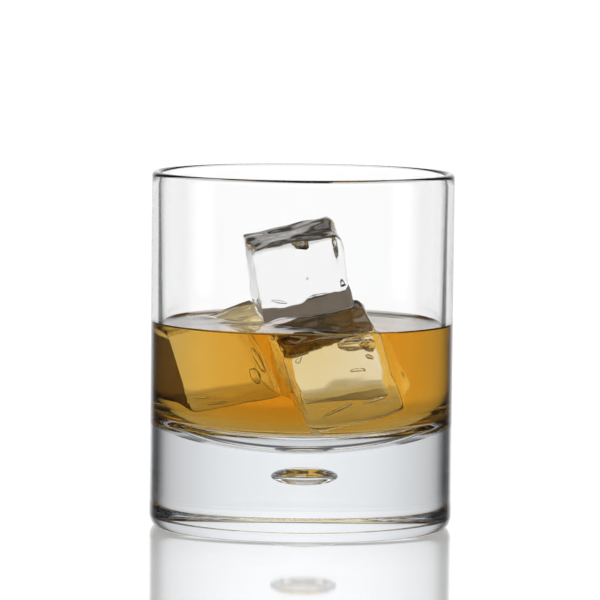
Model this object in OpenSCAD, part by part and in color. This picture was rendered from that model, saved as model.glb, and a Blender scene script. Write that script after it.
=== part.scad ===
// Whiskey tumbler: a straight-sided drinking glass with a thick base and a bubble
// of air trapped in it, about half full of whiskey, with four cubes of ice.
// Millimetres. +Z is up, the origin is the middle of the foot, on the table.
// The blocks of ice are turned as they settled: X first, then Y, then Z.

/* [Glass] */
// Outer diameter of the straight body
glass_d = 81; // [76:0.5:90]
// Height from the table to the top of the rim
glass_h = 95; // [90:0.5:110]
// Thickness of the wall at the rim
rim_t = 2.2; // [1.6:0.1:3]
// Thickness of the wall where it runs into the base
wall_t = 3.2; // [2.6:0.1:4]
// Thickness of the solid base at its middle
base_t = 20.6; // [18.6:0.1:22]
// Radius of the rounding where the side runs into the foot
foot_round = 4.5; // [3:0.1:6]
// Radius of the tighter rounding at the foot's corner
heel_round = 0.4; // [0.3:0.1:2]
// Radius of the rounding inside, from wall to floor
bowl_round = 12; // [8:0.5:14]
// Radius of the shallow dish that is the floor inside
bowl_dish = 75; // [70:5:200]
// Inner radius of the flat ring that the glass stands on
ring_r = 34; // [20:0.5:35]
// Depth of the hollow inside that ring
punt_depth = 0.3; // [0.2:0.1:1.5]

/* [Trapped bubble] */
// Radius of the bubble
bubble_r = 6; // [3:0.5:8]
// How far the bubble lies off the glass's axis, to the right
bubble_x = 0.7; // [-2:0.1:2]
// Height of the bubble's widest place above the table
bubble_z = 14.6; // [12:0.5:16]
// Height of the dome above the widest place
bubble_up = 2.5; // [1:0.1:3.6]
// Depth of the underside below the widest place
bubble_down = 2.4; // [0.5:0.1:3]

/* [Whiskey] */
// Height of the liquid's surface above the table
level_z = 54; // [45:0.5:60]
// Gap left round each block of ice
ice_gap = 0.2; // [0.1:0.05:0.5]

/* [Ice] */
// Width of the bevel along the melted edges
ice_bevel = 2.2; // [1:0.1:3]
// Size of the block on top, across, deep and high
top_size = [25, 24, 21.5]; // [18:0.5:26]
// Size of the block at the front
front_size = [25.5, 25, 26]; // [18:0.5:26.5]
// Size of the block at the left
left_size = [20, 21, 24]; // [16:0.5:25]
// Size of the block at the rear
rear_size = [18, 30, 22]; // [13:0.5:31]

/* [Hidden] */

// Where the middle of each block lies, and how the block is turned
top_at = [-1.4, -14.6, 69.5];
top_turn = [8, -12, 6];
front_at = [8.6, -15.8, 43.8];
front_turn = [18, -18, 4];
left_at = [-17.6, 9, 44.2];
left_turn = [8, -20, 4];
rear_at = [5.4, 17.2, 43.4];
rear_turn = [8, -8, 6];

glass_r = glass_d / 2;
wall_r = glass_r - wall_t;
rim_r = rim_t / 2;

// Centre of the sphere that the floor dish is cut by
dish_z = base_t + bowl_dish;
// Centre of the rounding between floor and wall: it touches both
bowl_x = wall_r - bowl_round;
bowl_z = dish_z - sqrt(pow(bowl_dish - bowl_round, 2) - pow(bowl_x, 2));
// Angle, seen from the dish's centre, where the floor meets the rounding
dish_end = atan2(bowl_z - dish_z, bowl_x);
// The wall leans out a little, because it is thinner at the rim
lean = atan((wall_t - rim_t) / (glass_h - rim_r - bowl_z));
// Inner radius of the wall at the surface of the liquid
level_r = wall_r + (level_z - bowl_z) * tan(lean);

// Turn at which the side rounding passes into the corner's
foot_turn = 44;
// Centres of the two arcs: they touch where they meet
foot_step = foot_round - heel_round;
foot_x = glass_r - foot_round;
foot_z = heel_round + foot_step * sin(foot_turn);
heel_x = foot_x + foot_step * cos(foot_turn);

$fn = 96;

// Points along an arc, from its point number "first"
function arc(x, z, r, from, to, steps, first = 0) = [
    for (i = [first : steps])
        let (a = from + (to - from) * i / steps) [x + r * cos(a), z + r * sin(a)]
];

// Floor of the bowl, from the middle out and up to where the wall starts
function bowl_line() = concat(
    arc(0, dish_z, bowl_dish, -90, dish_end, 6),
    arc(bowl_x, bowl_z, bowl_round, dish_end, -lean, 9, 1)
);

// Rim, from the inside over the top to the outside
function rim_line() = arc(glass_r - rim_r, glass_h - rim_r, rim_r, 180, 0, 8);

// Outside of the base: rounded foot, resting ring and the hollow in the middle
function foot_line() = concat(
    arc(foot_x, foot_z, foot_round, 0, -foot_turn, 5),
    arc(heel_x, heel_round, heel_round, -foot_turn, -90, 4, 1),
    [for (i = [0 : 6]) let (r = ring_r * (1 - i / 6)) [r, punt_depth * (1 - pow(r / ring_r, 2))]]
);

// Half of the bubble's outline: a dome above, a bowl below
function bubble_line() = [
    for (a = [-90 : 10 : 90])
        [bubble_r * cos(a), bubble_z + (a > 0 ? bubble_up : bubble_down) * sin(a)]
];

module glass_tumbler() {
    color("aliceblue", 0.35)
        difference() {
            rotate_extrude() polygon(concat(bowl_line(), rim_line(), foot_line()));
            translate([bubble_x, 0, 0]) rotate_extrude() polygon(bubble_line());
        }
}

// A block with its edges bevelled, the shape that a half-melted cube keeps
module ice_block(size, at, turn, grow = 0) {
    full = [for (s = size) s + 2 * grow];
    bevel = ice_bevel + (2 - sqrt(2)) * grow;
    long = 2 * max(full);
    translate(at)
        rotate(turn)
            intersection() {
                cube(full, center = true);
                rotate([45, 0, 0]) bevel_prism(long, full[1] + full[2], bevel);
                rotate([0, 45, 0]) rotate([0, 0, 90]) bevel_prism(long, full[0] + full[2], bevel);
                rotate([0, 0, 45]) rotate([0, 90, 0]) bevel_prism(long, full[0] + full[1], bevel);
            }
}

// Square bar along X whose sides cut the four edges between two pairs of faces
module bevel_prism(long, sum, bevel) {
    side = (sum / 2 - bevel) * sqrt(2);
    cube([long, side, side], center = true);
}

module top_block(grow = 0) {
    ice_block(top_size, top_at, top_turn, grow);
}

module front_block(grow = 0) {
    ice_block(front_size, front_at, front_turn, grow);
}

module left_block(grow = 0) {
    ice_block(left_size, left_at, left_turn, grow);
}

module rear_block(grow = 0) {
    ice_block(rear_size, rear_at, rear_turn, grow);
}

// The liquid fills the bowl to its level, round the blocks that stand in it
module whiskey() {
    color("goldenrod", 0.6)
        difference() {
            rotate_extrude()
                polygon(concat(bowl_line(), [[level_r, level_z], [0, level_z]]));
            front_block(ice_gap);
            left_block(ice_gap);
            rear_block(ice_gap);
        }
}

module ice_cube_top() {
    color("white", 0.6) top_block();
}

module ice_cube_front() {
    color("lightcyan", 0.6) front_block();
}

module ice_cube_left() {
    color("azure", 0.6) left_block();
}

module ice_cube_rear() {
    color("ghostwhite", 0.6) rear_block();
}

glass_tumbler();
whiskey();
ice_cube_top();
ice_cube_front();
ice_cube_left();
ice_cube_rear();
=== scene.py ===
"""Looks of the whiskey tumbler: clear glass, amber whiskey and melting ice in a bright studio."""
import math

import bpy
import numpy as np
from mathutils import Euler, Matrix, Vector, noise
from mathutils.bvhtree import BVHTree


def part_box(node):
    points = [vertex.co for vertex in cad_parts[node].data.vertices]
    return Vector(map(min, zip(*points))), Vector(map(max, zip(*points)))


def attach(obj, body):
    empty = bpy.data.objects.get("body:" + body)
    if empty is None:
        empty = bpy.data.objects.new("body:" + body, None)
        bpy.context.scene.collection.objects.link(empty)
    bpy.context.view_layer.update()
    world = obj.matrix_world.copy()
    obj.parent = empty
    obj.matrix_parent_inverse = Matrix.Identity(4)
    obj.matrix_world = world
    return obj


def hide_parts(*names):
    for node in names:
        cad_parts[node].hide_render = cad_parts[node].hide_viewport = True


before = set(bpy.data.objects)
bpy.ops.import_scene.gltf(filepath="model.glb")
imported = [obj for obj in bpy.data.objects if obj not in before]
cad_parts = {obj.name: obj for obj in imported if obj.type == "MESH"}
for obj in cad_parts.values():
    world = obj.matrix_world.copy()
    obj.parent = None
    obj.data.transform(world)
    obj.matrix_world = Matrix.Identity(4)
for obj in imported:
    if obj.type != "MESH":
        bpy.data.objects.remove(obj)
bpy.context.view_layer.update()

MM = 0.001

# ---------------------------------------------------------------- driving sizes, in millimetres

GLASS_LOW, GLASS_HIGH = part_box("glass_tumbler")
GLASS_R = (GLASS_HIGH.x - GLASS_LOW.x) / 2 / MM
GLASS_H = GLASS_HIGH.z / MM
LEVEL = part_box("whiskey")[1].z / MM
BASE_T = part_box("whiskey")[0].z / MM
RIM_T, WALL_T = 2.2, 3.2
BOWL_ROUND, BOWL_DISH = 12.0, 75.0
FOOT_ROUND, HEEL_ROUND, FOOT_TURN = 4.5, 0.4, 44    # foot's side and corner, and the turn where they meet
RING_R, PUNT_DEPTH = 34.0, 0.3
BUBBLE_R, BUBBLE_X, BUBBLE_Z, BUBBLE_UP, BUBBLE_DOWN = 6.0, 0.7, 14.6, 2.5, 2.4
MENISCUS, MENISCUS_REACH = 0.9, 1.3      # how high the drink climbs at the wall, and how far out that shows
ICE_MENISCUS, ICE_MENISCUS_REACH = 0.7, 1.1
ICE_IN_DRINK = 0.925                     # how much less the ice bends light than the drink round it
SKIN = 0.02                              # gap between two skins that share a face
LATHE_STEPS, BUBBLE_STEPS, SURFACE_RINGS = 288, 96, 90

# Optical density of each clear stuff against air
IOR_GLASS, IOR_WHISKEY, IOR_ICE = 1.5, 1.36, 1.31
# Colour that is let through, and how strongly the rest is taken away, per metre
GLASS_TAKES = (0.48, 0.53, 0.58), 7
WHISKEY_TAKES = (0.925, 0.775, 0.28), 92
# Tints of ice. A ray takes the square root of a tint at each skin
WET_TINT, DEEP_TINT = (0.97, 0.97, 0.97), (0.91, 0.92, 1.0)
# Painted shade: dark tints for the top faces of two blocks, the underside of the top block and the left side
# of the left block
TOP_SHADE_TINT, UNDERSIDE_SHADE_TINT, SHADED_TINT = (0.05, 0.034, 0.024), (0.026, 0.017, 0.01), (0.03, 0.018, 0.008)

# Brightness of the world by degrees away from straight behind. THROUGH: seen through the walls and the drink.
# BASE: through the solid base. SIDES: added beside the glass. HIGH and FRONT: high up, behind and in front.
# MIRRORED: in the outer skin. NOTCH: how much is taken from what the wall's inner edge mirrors.
THROUGH = ((0, 1.14), (20, 1.12), (23, 1.09), (26, 1.04), (29, 0.97), (38, 0.88), (46, 0.77), (53, 0.54),
           (58, 0.28), (63, 0.08), (75, 0.04), (180, 0.06))
BASE = ((0, 1.08), (8, 1.045), (16, 1.0), (25, 0.915), (33, 0.82), (41, 0.75), (47, 0.69), (52.5, 0.57),
        (59, 0.26), (65, 0.04), (180, 0.04))
SIDES = ((0, 0), (75, 0), (83, 0.8), (97, 0.8), (106, 0), (180, 0))
HIGH = ((0, 1.0), (45, 1.0), (60, 0.1), (180, 0.05))
FRONT = ((0, 0), (84, 0), (98, 1.05), (180, 1.05))
MIRRORED = ((0, 1.12), (12, 1.08), (20, 0.7), (28, 0.15), (36, 0.04), (180, 0.03))
NOTCH = ((0, 0), (27.5, 0), (31, 0.9), (40, 0.9), (46, 0.1), (180, 0))
# The same by degrees above the table. TABLE and BANDS: share kept, through the walls or the base.
# ABOVE: share taken, through the walls.
TABLE = ((-90, 0.06), (-50, 0.06), (-40, 0.6), (-30, 0.7), (-20, 0.85), (-13, 1.0), (90, 1.0))
BANDS = ((-90, 0.75), (-30, 0.9), (-13, 1.0), (-3, 1.0), (4, 1.2), (24, 1.2), (27, 0.2), (31, 0.15),
         (34, 1.1), (39, 1.1), (43, 0.2), (48, 0.15), (53, 1.0), (90, 1.0))
ABOVE = ((-90, 0), (12, 0), (18, 0.9), (48, 0.9), (56, 0), (90, 0))
ROOM = 0.1                               # least light from anywhere, through clear things
DOME = 1.0                               # soft light on matt things
BACKDROP = 1.05                          # what the eye sees past the glass
FLOOR_ROUGH, FLOOR_MATT, FLOOR_MIRROR = 0.05, 0.35, 1.15

# Size, middle and turn of each block of ice, in millimetres and degrees
ICE = {
    "ice_cube_top": dict(
        size=(25, 24, 21.5), at=(-1.4, -14.6, 69.5), turn=(8, -12, 6), body="ice_top", seed=3),
    "ice_cube_front": dict(
        size=(25.5, 25, 26), at=(8.6, -15.8, 43.8), turn=(18, -18, 4), body="ice_front", seed=11),
    "ice_cube_left": dict(
        size=(20, 21, 24), at=(-17.6, 9, 44.2), turn=(8, -20, 4), body="ice_left", seed=23),
    "ice_cube_rear": dict(
        size=(18, 30, 22), at=(5.4, 17.2, 43.4), turn=(8, -8, 6), body="ice_rear", seed=37),
}

BLOCK_CELLS, AIR_CELLS = 44, 6           # cells along each edge of a block, and of a pocket of air
BLOCK_EDGE = 2.2                         # radius of a block's melted edges
SWELL, RIPPLE, MELTED = 1.1, 0.3, 0.5    # broad and fine waves of its faces, and how far it has shrunk

# Air trapped in each block: place in shares of the half size, then half width, height and thickness, and lean
AIR = {
    "ice_cube_top": (
        (0.1, -0.55, 0.78, 2.6, 1.2, 0.5, 20), (0.12, -0.3, -0.12, 0.35, 0.3, 0.3, 0),
        (-0.5, 0.1, -0.6, 2.2, 0.4, 0.3, 15), (0.85, -0.2, -0.35, 0.5, 2.2, 0.5, 12),
        (0.3, 0.2, -0.75, 2.8, 0.5, 0.4, -8)),
    "ice_cube_front": (
        (0.42, -0.4, 0.6, 4.4, 1.7, 1.7, 22), (0.3, -0.2, 0.72, 2.4, 1.0, 1.2, -12),
        (0.66, -0.1, 0.36, 1.5, 2.0, 1.2, 30), (0.45, 0.2, 0.5, 2.0, 0.7, 0.5, 5),
        (0.62, -0.6, 0.32, 1.1, 0.6, 0.5, 40), (-0.85, -0.7, -0.2, 0.5, 3.6, 0.5, 6),
        (-0.3, -0.4, -0.72, 4.2, 0.5, 0.6, -4), (0.4, -0.5, -0.66, 3.2, 0.45, 0.5, 6)),
    "ice_cube_left": (
        (0.86, -0.7, -0.1, 0.7, 3.6, 0.7, 8), (0.7, -0.4, -0.5, 1.0, 2.2, 0.6, 14),
        (-0.35, -0.8, -0.84, 2.6, 0.5, 0.5, 4), (-0.5, -0.5, -0.7, 1.6, 0.4, 0.4, 0),
        (0.5, -0.2, 0.7, 1.8, 0.6, 0.5, 24)),
    "ice_cube_rear": (
        (-0.6, 0.2, 0.1, 0.8, 2.0, 0.5, 10), (0.5, 0.4, -0.5, 1.2, 0.7, 0.5, 30)),
}

# Sorts of ice, by place in each block's list of materials, and the faces that have a sort of their own, as
# painted shade
BODY, PAINTED_TOP_SHADE, PAINTED_UNDERSIDE_SHADE, SHADED, POCKET = range(5)
FACES = (("ice_cube_top", (0, 0, 1), PAINTED_TOP_SHADE), ("ice_cube_front", (0, 0, 1), PAINTED_TOP_SHADE),
         ("ice_cube_left", (-1, 0, 0), SHADED), ("ice_cube_top", (0, 0, -1), PAINTED_UNDERSIDE_SHADE))
FACING = 0.8                             # least cosine between such a face and its direction

# ---------------------------------------------------------------- node helpers


def new_material(name):
    mat = bpy.data.materials.new(name)
    mat.use_nodes = True
    nodes = mat.node_tree.nodes
    nodes.clear()
    out = nodes.new("ShaderNodeOutputMaterial")
    shader = nodes.new("ShaderNodeBsdfPrincipled")
    mat.node_tree.links.new(shader.outputs[0], out.inputs["Surface"])
    return mat, nodes, mat.node_tree.links, shader, out


def math_node(nodes, links, operation, a, b=None, c=None, clamp=False):
    n = nodes.new("ShaderNodeMath")
    n.operation, n.use_clamp = operation, clamp
    for socket, value in zip(n.inputs, (a, b, c)):
        if value is None:
            continue
        if isinstance(value, bpy.types.NodeSocket):
            links.new(value, socket)
        else:
            socket.default_value = value
    return n.outputs[0]


def map_range(nodes, links, value, low, high, to_low=0.0, to_high=1.0, smooth=False):
    n = nodes.new("ShaderNodeMapRange")
    n.interpolation_type = "SMOOTHSTEP" if smooth else "LINEAR"
    links.new(value, n.inputs["Value"])
    for name, v in (("From Min", low), ("From Max", high), ("To Min", to_low), ("To Max", to_high)):
        n.inputs[name].default_value = v
    return n.outputs["Result"]


def noise_node(nodes, links, scale, detail, seed=0.0):
    place = nodes.new("ShaderNodeTexCoord")
    n = nodes.new("ShaderNodeTexNoise")
    n.noise_dimensions = "4D"
    n.inputs["Scale"].default_value = scale
    n.inputs["Detail"].default_value = detail
    n.inputs["Roughness"].default_value = 0.5
    n.inputs["W"].default_value = seed
    links.new(place.outputs["Object"], n.inputs["Vector"])
    return n.outputs[0]


def bump(nodes, links, height, distance):
    n = nodes.new("ShaderNodeBump")
    n.inputs["Strength"].default_value = 1.0
    n.inputs["Distance"].default_value = distance
    links.new(height, n.inputs["Height"])
    return n.outputs[0]


def absorb(nodes, links, out, colour, density):
    n = nodes.new("ShaderNodeVolumeAbsorption")
    n.inputs["Color"].default_value = (*colour, 1)
    n.inputs["Density"].default_value = density
    links.new(n.outputs[0], out.inputs["Volume"])


# ---------------------------------------------------------------- materials


def glass_material():
    """Clear glass. Where the drink wets it, it bends light less, and its base takes a little light away."""
    mat, nodes, links, shader, out = new_material("clear_glass")
    shader.inputs["Base Color"].default_value = (1, 1, 1, 1)
    shader.inputs["Transmission Weight"].default_value = 1
    shader.inputs["Roughness"].default_value = 0.0
    wetted = nodes.new("ShaderNodeAttribute")
    wetted.attribute_name = "wetted"
    shader.inputs["IOR"].default_value = IOR_GLASS
    links.new(map_range(nodes, links, wetted.outputs["Fac"], 0, 1, IOR_GLASS, IOR_GLASS / IOR_WHISKEY),
              shader.inputs["IOR"])
    wave = noise_node(nodes, links, 45, 1.0)
    links.new(bump(nodes, links, wave, 0.00004), shader.inputs["Normal"])
    absorb(nodes, links, out, *GLASS_TAKES)
    return mat


def whiskey_material():
    """Amber liquid. Only its free surface bends light: its other skins lie on glass or ice, which bend it."""
    mat, nodes, links, shader, out = new_material("whiskey_amber")
    shader.inputs["Base Color"].default_value = (1, 1, 1, 1)
    shader.inputs["Transmission Weight"].default_value = 1
    shader.inputs["Roughness"].default_value = 0.0
    free = nodes.new("ShaderNodeAttribute")
    free.attribute_name = "free_surface"
    shader.inputs["IOR"].default_value = IOR_WHISKEY
    links.new(map_range(nodes, links, free.outputs["Fac"], 0, 1, 1.0, IOR_WHISKEY), shader.inputs["IOR"])
    absorb(nodes, links, out, *WHISKEY_TAKES)
    return mat


def ice_material(name, tint, ior=None):
    """Wet clear ice. Below the drink's surface it meets whiskey, above it meets air."""
    mat, nodes, links, shader, out = new_material(name)
    shader.inputs["Base Color"].default_value = (*tint, 1)
    shader.inputs["Transmission Weight"].default_value = 1
    shader.inputs["Roughness"].default_value = 0.0
    if ior:
        shader.inputs["IOR"].default_value = ior
        return mat
    place = nodes.new("ShaderNodeNewGeometry")
    split = nodes.new("ShaderNodeSeparateXYZ")
    links.new(place.outputs["Position"], split.inputs[0])
    sunk = math_node(nodes, links, "LESS_THAN", split.outputs["Z"], (LEVEL + ICE_MENISCUS * 0.8) * MM)
    shader.inputs["IOR"].default_value = IOR_ICE
    links.new(map_range(nodes, links, sunk, 0, 1, IOR_ICE, ICE_IN_DRINK), shader.inputs["IOR"])
    wave = noise_node(nodes, links, 140, 2.0, seed=4)
    links.new(bump(nodes, links, wave, 0.00012), shader.inputs["Normal"])
    return mat


def floor_material():
    """A glossy sheet that lets the white world through, with a matt part round the foot for its shade."""
    mat = bpy.data.materials.new("pale_gloss_floor")
    mat.use_nodes = True
    nodes, links = mat.node_tree.nodes, mat.node_tree.links
    nodes.clear()
    out = nodes.new("ShaderNodeOutputMaterial")
    clear = nodes.new("ShaderNodeBsdfTransparent")
    gloss = nodes.new("ShaderNodeBsdfAnisotropic")
    gloss.inputs["Color"].default_value = (1, 1, 1, 1)
    gloss.inputs["Roughness"].default_value = FLOOR_ROUGH
    matt = nodes.new("ShaderNodeBsdfDiffuse")
    matt.inputs["Color"].default_value = (0.9, 0.9, 0.9, 1)
    fresnel = nodes.new("ShaderNodeFresnel")
    fresnel.inputs["IOR"].default_value = 1.45
    place = nodes.new("ShaderNodeTexCoord")
    length = nodes.new("ShaderNodeVectorMath")
    length.operation = "LENGTH"
    links.new(place.outputs["Object"], length.inputs[0])
    near = map_range(nodes, links, length.outputs["Value"], 0.1, 0.05, 0.0, FLOOR_MATT, True)
    body = nodes.new("ShaderNodeMixShader")
    links.new(near, body.inputs[0])
    links.new(clear.outputs[0], body.inputs[1])
    links.new(matt.outputs[0], body.inputs[2])
    mix = nodes.new("ShaderNodeMixShader")
    mirroring = math_node(nodes, links, "MULTIPLY", fresnel.outputs[0], FLOOR_MIRROR, clamp=True)
    links.new(mirroring, mix.inputs[0])
    links.new(body.outputs[0], mix.inputs[1])
    links.new(gloss.outputs[0], mix.inputs[2])
    links.new(mix.outputs[0], out.inputs["Surface"])
    return mat


# ---------------------------------------------------------------- mesh helpers


def arc(x, z, r, start, end, steps):
    turns = [math.radians(start + (end - start) * i / steps) for i in range(steps + 1)]
    return [(x + r * math.cos(a), z + r * math.sin(a)) for a in turns]


def straight(a, b, steps):
    return [(a[0] + (b[0] - a[0]) * i / steps, a[1] + (b[1] - a[1]) * i / steps) for i in range(1, steps)]


def lathe(outline, steps=LATHE_STEPS):
    """Turns an outline of (radius, height), in millimetres, round the Z axis. Both ends lie on the axis."""
    turn = np.arange(steps) * 2 * math.pi / steps
    verts, rows = [], []
    for r, z in outline:
        if r < 1e-6:
            rows.append([len(verts)] * steps)
            verts.append((0.0, 0.0, z))
        else:
            rows.append(list(range(len(verts), len(verts) + steps)))
            verts += [(r * math.cos(a), r * math.sin(a), z) for a in turn]
    faces = []
    for low, high in zip(rows, rows[1:]):
        for i in range(steps):
            j = (i + 1) % steps
            faces.append([v for k, v in enumerate((low[i], low[j], high[j], high[i]))
                          if not (k == 1 and low[i] == low[j]) and not (k == 2 and high[i] == high[j])])
    return np.array(verts), faces


def mesh_object(name, verts, faces, materials, index=None):
    """A smooth-shaded object from points in millimetres."""
    mesh = bpy.data.meshes.new(name)
    mesh.from_pydata((np.asarray(verts) * MM).tolist(), [], faces)
    for m in materials:
        mesh.materials.append(m)
    if index is not None:
        mesh.polygons.foreach_set("material_index", index)
    mesh.polygons.foreach_set("use_smooth", [True] * len(mesh.polygons))
    mesh.update()
    obj = bpy.data.objects.new(name, mesh)
    bpy.context.scene.collection.objects.link(obj)
    return obj


# ---------------------------------------------------------------- glass


def bowl_outline(shrink=0.0, fine=4):
    """Floor of the bowl from the axis out, and up to where the wall starts."""
    wall_r = GLASS_R - WALL_T
    dish_z = BASE_T + BOWL_DISH
    corner_x = wall_r - BOWL_ROUND
    corner_z = dish_z - math.sqrt((BOWL_DISH - BOWL_ROUND) ** 2 - corner_x ** 2)
    meet = math.degrees(math.atan2(corner_z - dish_z, corner_x))
    lean = math.degrees(math.atan((WALL_T - RIM_T) / (GLASS_H - RIM_T / 2 - corner_z)))
    floor = arc(0, dish_z, BOWL_DISH - shrink, -90, meet, 6 * fine)
    corner = arc(corner_x, corner_z, BOWL_ROUND - shrink, meet, -lean, 9 * fine)
    floor[0] = (0.0, floor[0][1])
    return floor + corner[1:], math.tan(math.radians(lean))     # the outline, and how the wall leans out


def foot_outline():
    """Two arcs that run into each other, from the side of the glass to the ring that it stands on."""
    a, step = math.radians(FOOT_TURN), FOOT_ROUND - HEEL_ROUND
    x = GLASS_R - FOOT_ROUND
    side = arc(x, HEEL_ROUND + step * math.sin(a), FOOT_ROUND, 0, -FOOT_TURN, 20)
    return side + arc(x + step * math.cos(a), HEEL_ROUND, HEEL_ROUND, -FOOT_TURN, -90, 12)[1:]


def wall_radius(z, shrink=0.0):
    outline, slope = bowl_outline(shrink)
    r0, z0 = outline[-1]
    return r0 + (z - z0) * slope


def build_glass():
    bowl = bowl_outline()[0]
    contact = LEVEL + MENISCUS
    rim_r = RIM_T / 2
    rim = arc(GLASS_R - rim_r, GLASS_H - rim_r, rim_r, 180, 0, 20)
    wet_top = (wall_radius(contact), contact)
    foot = foot_outline()
    punt = [(RING_R * (1 - i / 24), PUNT_DEPTH * (1 - (1 - i / 24) ** 2)) for i in range(25)]
    punt[-1] = (0.0, PUNT_DEPTH)
    outline = (bowl + straight(bowl[-1], wet_top, 12) + [wet_top] + straight(wet_top, rim[0], 20) + rim
               + straight(rim[-1], foot[0], 40) + foot + straight(foot[-1], punt[0], 3) + punt)
    verts, faces = lathe(outline[::-1])
    turns = [math.radians(a) for a in range(-90, 91, 4)]
    bubble = [(BUBBLE_R * math.cos(a), BUBBLE_Z + (BUBBLE_UP if a > 0 else BUBBLE_DOWN) * math.sin(a))
              for a in turns]
    bubble[0] = (0.0, bubble[0][1])
    bubble[-1] = (0.0, bubble[-1][1])
    b_verts, b_faces = lathe(bubble, BUBBLE_STEPS)
    b_verts[:, 0] += BUBBLE_X
    faces = faces + [[v + len(verts) for v in f] for f in b_faces]
    verts = np.vstack([verts, b_verts])
    wet = []
    for f in faces:
        x, y, z = verts[f].mean(axis=0)
        inner = math.hypot(x, y) < GLASS_R - WALL_T / 2
        wet.append(float(inner and BASE_T - 0.5 < z < contact))
    obj = mesh_object("clear_glass_body", verts, faces, [glass_material()])
    layer = obj.data.attributes.new("wetted", "FLOAT", "FACE")
    layer.data.foreach_set("value", wet)
    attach(obj, "tumbler")
    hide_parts("glass_tumbler")
    return obj


# ---------------------------------------------------------------- ice


def cube_grid(n):
    """Points of a cube from -1 to 1 with n cells along each edge, welded, and its faces."""
    index, verts, faces = {}, [], []

    def at(p):
        key = tuple(int(round((v + 1) * n)) for v in p)
        if key not in index:
            index[key] = len(verts)
            verts.append(p)
        return index[key]

    for axis in range(3):
        u, v = (axis + 1) % 3, (axis + 2) % 3
        for side in (-1, 1):
            for i in range(n):
                for j in range(n):
                    corners = []
                    for a, b in ((i, j), (i + 1, j), (i + 1, j + 1), (i, j + 1)):
                        p = [0.0, 0.0, 0.0]
                        p[axis], p[u], p[v] = side, 2 * a / n - 1, 2 * b / n - 1
                        corners.append(at(tuple(p)))
                    faces.append(corners if side > 0 else corners[::-1])
    return np.array(verts), faces


def melted_block(size, seed):
    """A block with rounded, wavy edges, as ice melts in a drink."""
    points, faces = cube_grid(BLOCK_CELLS)
    half = np.array(size) / 2
    out = np.zeros_like(points)
    for k, p in enumerate(points):
        q = p * half
        wobble = noise.noise(Vector(q) * 0.11 + Vector((seed, seed * 2, 0)))
        r = BLOCK_EDGE * (1 + 0.55 * wobble)
        core = np.clip(q, -(half - r), half - r)
        d = q - core
        length = np.linalg.norm(d)
        q = core + d / length * r if length > 1e-9 else q
        away = d / max(length, 1e-9)
        swell = noise.noise(Vector(q) * 0.085 + Vector((seed * 3, 0, seed)))
        ripple = noise.noise(Vector(q) * 0.24 + Vector((0, seed, seed * 5)))
        out[k] = q + away * (SWELL * swell + RIPPLE * ripple - MELTED)
    return out, faces


def trapped_air(size, pockets, seed):
    """Small flattened bubbles in a block, their faces turned inward."""
    grid, faces = cube_grid(AIR_CELLS)
    grid = grid / np.linalg.norm(grid, axis=1, keepdims=True)
    half = np.array(size) / 2
    verts, out = [], []
    for k, (x, y, z, wide, high, thick, lean) in enumerate(pockets):
        p = grid * np.array((wide, thick, high))
        dents = [noise.noise(Vector(v) * 2.3 + Vector((seed + k, 0, 0))) for v in grid]
        p *= 1 + 0.22 * np.array(dents)[:, None]
        angles = 20 * math.sin(k + seed), lean, 25 * math.cos(k)
        turn = np.array(Euler([math.radians(a) for a in angles], "XYZ").to_matrix())
        out += [[len(grid) * k + v for v in f[::-1]] for f in faces]
        verts.append(p @ turn.T + half * np.array((x, y, z)))
    return np.vstack(verts), out


def build_ice():
    """Four clear blocks. Some faces carry a dark tint: painted shade on the tops of two blocks, the underside
    of the top block and the left side of the left block.
    """
    made = {}
    clear = ice_material("wet_ice", WET_TINT)
    # painted shade: a dark tint on the top faces of the top and front blocks
    top_shade = ice_material("painted_top_shade_ice", TOP_SHADE_TINT)
    # painted shade: a dark sheet on the underside of the top block, where it sits on the others; it doesn't
    # bend light
    underside_shade = ice_material("painted_underside_shade_ice", UNDERSIDE_SHADE_TINT, 1.0)
    # painted shade: a dark sheet on the left side of the left block; it doesn't bend light
    shaded = ice_material("shaded_ice", SHADED_TINT, 1.0)
    pocket = ice_material("air_in_ice", (1, 1, 1), IOR_ICE)
    deep = ice_material("deep_ice", DEEP_TINT)
    for node, spec in ICE.items():
        verts, faces = melted_block(spec["size"], spec["seed"])
        index = [BODY] * len(faces)
        for k, f in enumerate(faces):
            a, b, c = verts[f[0]], verts[f[1]], verts[f[2]]
            n = np.cross(b - a, c - b)
            for name, way, kind in FACES:
                if name == node and n @ np.array(way) > FACING * np.linalg.norm(n):
                    index[k] = kind
        air, air_faces = trapped_air(spec["size"], AIR[node], spec["seed"])
        faces = faces + [[v + len(verts) for v in f] for f in air_faces]
        index += [POCKET] * len(air_faces)
        verts = np.vstack([verts, air])
        turn = np.array(Euler([math.radians(a) for a in spec["turn"]], "XYZ").to_matrix())
        verts = verts @ turn.T + np.array(spec["at"])
        body = clear if node == "ice_cube_top" else deep
        obj = mesh_object("melting_" + node, verts, faces,
                          [body, top_shade, underside_shade, shaded, pocket], index)
        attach(obj, spec["body"])
        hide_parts(node)
        made[node] = obj
    return made


# ---------------------------------------------------------------- whiskey


def tree_of(obj):
    mesh = obj.data
    return BVHTree.FromPolygons([v.co for v in mesh.vertices], [p.vertices for p in mesh.polygons])


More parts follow.
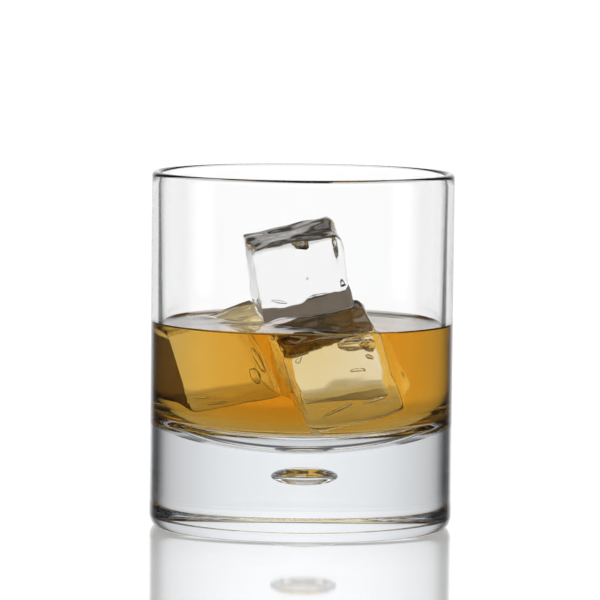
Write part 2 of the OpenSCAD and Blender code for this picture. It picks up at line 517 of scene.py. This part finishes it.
def build_whiskey(ice):
    """The drink, less the blocks that stand in it, its free surface marked and drawn up at wall and ice."""
    sunken = "ice_cube_front", "ice_cube_left", "ice_cube_rear"
    bowl = bowl_outline(SKIN)[0]
    contact = LEVEL + MENISCUS
    top_r = wall_radius(contact, SKIN)
    top = []
    for i in range(SURFACE_RINGS + 1):
        r = top_r * (1 - i / SURFACE_RINGS)
        top.append((r, LEVEL + MENISCUS * math.exp(-(top_r - r) / MENISCUS_REACH)))
    top[-1] = (0.0, top[-1][1])
    wall = straight(bowl[-1], top[0], 12)
    verts, faces = lathe(bowl + wall + top)
    wetted = (len(bowl) + len(wall)) * LATHE_STEPS
    tags = [0] * wetted + [1] * (len(faces) - wetted)
    trees = [tree_of(ice[n]) for n in sunken]
    first_top = 1 + (len(bowl) - 1 + len(wall)) * LATHE_STEPS
    for k in range(first_top, len(verts)):
        x, y, z = verts[k]
        near = min(t.find_nearest(Vector((x, y, LEVEL)) * MM)[3] / MM for t in trees)
        verts[k, 2] += ICE_MENISCUS * math.exp(-near / ICE_MENISCUS_REACH)
    temp = [bpy.data.materials.new("tag%d" % i) for i in range(3)]
    body = mesh_object("amber_whiskey", verts, faces, temp[:2], tags)
    for node in sunken:
        cutter = ice[node].copy()
        cutter.data = ice[node].data.copy()
        cutter.data.materials.clear()
        cutter.data.materials.append(temp[2])
        cutter.parent = None
        bpy.context.scene.collection.objects.link(cutter)
        normals = [v.normal.copy() for v in cutter.data.vertices]
        for v, n in zip(cutter.data.vertices, normals):
            v.co += n * SKIN * MM
        mod = body.modifiers.new(node, "BOOLEAN")
        mod.operation, mod.object, mod.solver = "DIFFERENCE", cutter, "EXACT"
        mod.material_mode = "TRANSFER"
        bpy.context.view_layer.update()
        apply_modifiers(body)
        bpy.data.objects.remove(cutter)
    mesh = body.data
    names = [m.name if m else "" for m in mesh.materials]
    tag = np.zeros(len(mesh.polygons), int)
    mesh.polygons.foreach_get("material_index", tag)
    free = np.array([1.0 if names[t].startswith("tag1") else 0.0 for t in tag])
    layer = mesh.attributes.new("free_surface", "FLOAT", "FACE")
    layer.data.foreach_set("value", free)
    sharp = mesh.attributes.get("sharp_edge") or mesh.attributes.new("sharp_edge", "BOOLEAN", "EDGE")
    sides = {}
    for p in mesh.polygons:
        for key in p.edge_keys:
            sides.setdefault(key, set()).add(free[p.index])
    sharp.data.foreach_set("value", [len(sides.get(tuple(sorted(e.vertices)), ())) > 1 for e in mesh.edges])
    mesh.materials.clear()
    mesh.materials.append(whiskey_material())
    mesh.polygons.foreach_set("material_index", [0] * len(mesh.polygons))
    mesh.polygons.foreach_set("use_smooth", [True] * len(mesh.polygons))
    mesh.update()
    for m in temp:
        bpy.data.materials.remove(m)
    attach(body, "tumbler")
    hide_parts("whiskey")


def apply_modifiers(obj):
    graph = bpy.context.evaluated_depsgraph_get()
    mesh = bpy.data.meshes.new_from_object(obj.evaluated_get(graph))
    obj.modifiers.clear()
    old = obj.data
    obj.data = mesh
    bpy.data.meshes.remove(old)


# ---------------------------------------------------------------- studio


def ramp(nodes, links, value, stops):
    """A grey level that follows value along straight stretches between stops of (place, level)."""
    n = nodes.new("ShaderNodeFloatCurve")
    links.new(value, n.inputs["Value"])
    curve = n.mapping.curves[0]
    n.mapping.use_clip = False
    curve.points[0].location, curve.points[-1].location = stops[0], stops[-1]
    for place, level in stops[1:-1]:
        curve.points.new(place, level)
    for point in curve.points:
        point.handle_type = "VECTOR"
    n.mapping.update()
    return n.outputs[0]


def build_world():
    """A bright sheet behind the glass, dark cards at its sides, and white all round for the eye.

    It isn't a real studio: a ray's brightness depends on its direction, and also on how many clear skins it
    has crossed and how often it was mirrored. "turn" is away from straight behind, in half circles; "rise" is
    above the table's plane, in degrees.
    """
    world = bpy.data.worlds.new("studio")
    bpy.context.scene.world = world
    world.cycles.sampling_method = "NONE"
    world.use_nodes = True
    nodes, links = world.node_tree.nodes, world.node_tree.links
    nodes.clear()
    out = nodes.new("ShaderNodeOutputWorld")
    place = nodes.new("ShaderNodeTexCoord")
    split = nodes.new("ShaderNodeSeparateXYZ")
    links.new(place.outputs["Generated"], split.inputs[0])
    x, y, z = split.outputs
    turn = math_node(nodes, links, "ABSOLUTE", math_node(nodes, links, "ARCTAN2", x, y))
    turn = math_node(nodes, links, "DIVIDE", turn, math.pi)
    rise = math_node(nodes, links, "MULTIPLY", math_node(nodes, links, "ARCSINE", z), 180 / math.pi)

    path = nodes.new("ShaderNodeLightPath")

    def round_glass(curve):
        return ramp(nodes, links, turn, [(a / 180, v) for a, v in curve])

    def between(low, high, top=1.0):
        return map_range(nodes, links, rise, low, high, 0, top, True)

    def turned(low, high):
        return map_range(nodes, links, turn, low / 180, high / 180, 0, 1, True)

    def most(a, b):
        return math_node(nodes, links, "MAXIMUM", a, b)

    def times(a, b):
        return math_node(nodes, links, "MULTIPLY", a, b)

    def inverse(a):
        return math_node(nodes, links, "SUBTRACT", 1.0, a)

    def choose(test, a, b):
        m = nodes.new("ShaderNodeMix")
        m.data_type = "FLOAT"
        for socket, v in ((m.inputs["Factor"], test), (m.inputs["A"], a), (m.inputs["B"], b)):
            if isinstance(v, bpy.types.NodeSocket):
                links.new(v, socket)
            else:
                socket.default_value = v
        return m.outputs["Result"]

    skins, bounces = path.outputs["Transmission Depth"], path.outputs["Glossy Depth"]
    # the solid base is crossed by two skins only, the wall and the drink by more
    two = math_node(nodes, links, "COMPARE", skins, 2, 0.5)
    four = math_node(nodes, links, "COMPARE", skins, 4, 0.5)
    above = math_node(nodes, links, "GREATER_THAN", rise, 0.0)
    tilt = math_node(nodes, links, "ABSOLUTE", rise)
    through = math_node(nodes, links, "ADD", times(round_glass(THROUGH), inverse(two)),
                        times(round_glass(BASE), two))
    # the bright sheet on the front side is only seen by rays that no skin has mirrored
    direct = math_node(nodes, links, "LESS_THAN", bounces, 0.5)
    through = most(through, times(direct, turned(112, 136)))
    # mirrored once inside the wall, above the drink: a dark line. A bounce off the floor doesn't count
    bounced = math_node(nodes, links, "SUBTRACT", bounces, above)
    skimmed = times(two, math_node(nodes, links, "GREATER_THAN", bounced, 0.5))
    through = times(through, inverse(times(round_glass(NOTCH), skimmed)))
    # beside the glass, near the table's plane
    sides = times(round_glass(SIDES), map_range(nodes, links, tilt, 13, 9.5, 0, 1, True))
    through = math_node(nodes, links, "ADD", through, sides)
    # steeply upward
    up = between(22, 36)
    through = times(through, inverse(up))
    through = math_node(nodes, links, "MULTIPLY_ADD", up, round_glass(HIGH), through)
    through = times(through, choose(two, ramp(nodes, links, rise, TABLE), ramp(nodes, links, rise, BANDS)))
    # four skins and tilted: the ring round the trapped bubble
    ring = times(map_range(nodes, links, tilt, 8, 14, 0, 0.97, True), turned(26, 34))
    ring = times(times(ring, turned(110, 95)), between(-21, -17))
    through = times(through, inverse(times(four, ring)))
    # four skins and steeply downward: the front of the rim
    through = most(through, times(four, between(-28, -34, 0.55)))
    # the room above the sheet is dark, but for what the foot gathers
    through = times(through, inverse(times(ramp(nodes, links, rise, ABOVE), inverse(two))))
    through = most(through, between(50, 60))
    through = math_node(nodes, links, "MULTIPLY_ADD", up, round_glass(FRONT), through)
    through = most(through, ROOM)
    # what the outer skin mirrors, and the floor at the sides and the back of the glass
    once = times(times(math_node(nodes, links, "LESS_THAN", bounces, 1.5), above), turned(40, 60))
    mirrored = times(most(round_glass(MIRRORED), once), between(34, 20))

    inside = math_node(nodes, links, "GREATER_THAN", skins, 0.5)
    light = choose(inside, mirrored, through)
    lit = math_node(nodes, links, "GREATER_THAN", path.outputs["Diffuse Depth"], 0.5)
    light = choose(lit, light, DOME)
    light = choose(path.outputs["Is Camera Ray"], light, BACKDROP)
    back = nodes.new("ShaderNodeBackground")
    back.inputs["Color"].default_value = (1, 1, 1, 1)
    links.new(light, back.inputs["Strength"])
    links.new(back.outputs[0], out.inputs["Surface"])


def build_floor():
    """A wide sheet, in millimetres, just under the glass."""
    radius, steps = 1000.0, 128
    ring = [(radius * math.cos(i * 2 * math.pi / steps), radius * math.sin(i * 2 * math.pi / steps), -0.02)
            for i in range(steps)]
    floor = mesh_object("pale_floor", ring, [list(range(steps))], [floor_material()])


def build_camera():
    """Low and far away, with a long lens, a little tilted as the photographer held it."""
    distance, height, aim_z, aim_x = 1.5, 0.1815, 0.0606, -0.0006      # metres
    lens, roll = 337, 0.6                                              # millimetres, degrees
    cam = bpy.data.cameras.new("camera")
    cam.sensor_width, cam.lens = 36, lens
    cam.clip_start, cam.clip_end = 0.05, 30
    obj = bpy.data.objects.new("camera", cam)
    bpy.context.scene.collection.objects.link(obj)
    obj.location = (aim_x, -distance, height)
    look = Vector((aim_x, 0, aim_z)) - obj.location
    obj.rotation_mode = "QUATERNION"
    tilt = Matrix.Rotation(math.radians(roll), 4, "Z").to_quaternion()
    obj.rotation_quaternion = look.to_track_quat("-Z", "Y") @ tilt
    bpy.context.scene.camera = obj


def set_light_paths():
    scene = bpy.context.scene
    scene.view_settings.view_transform = "Standard"
    scene.view_settings.look = "None"
    cycles = scene.cycles
    cycles.max_bounces = 40
    cycles.transmission_bounces = 40
    cycles.glossy_bounces = 12
    cycles.diffuse_bounces = 3
    cycles.transparent_max_bounces = 16
    cycles.sample_clamp_indirect = 6.0
    cycles.use_denoising = True


build_camera()
build_world()
build_floor()
build_glass()
ice = build_ice()
build_whiskey(ice)
set_light_paths()
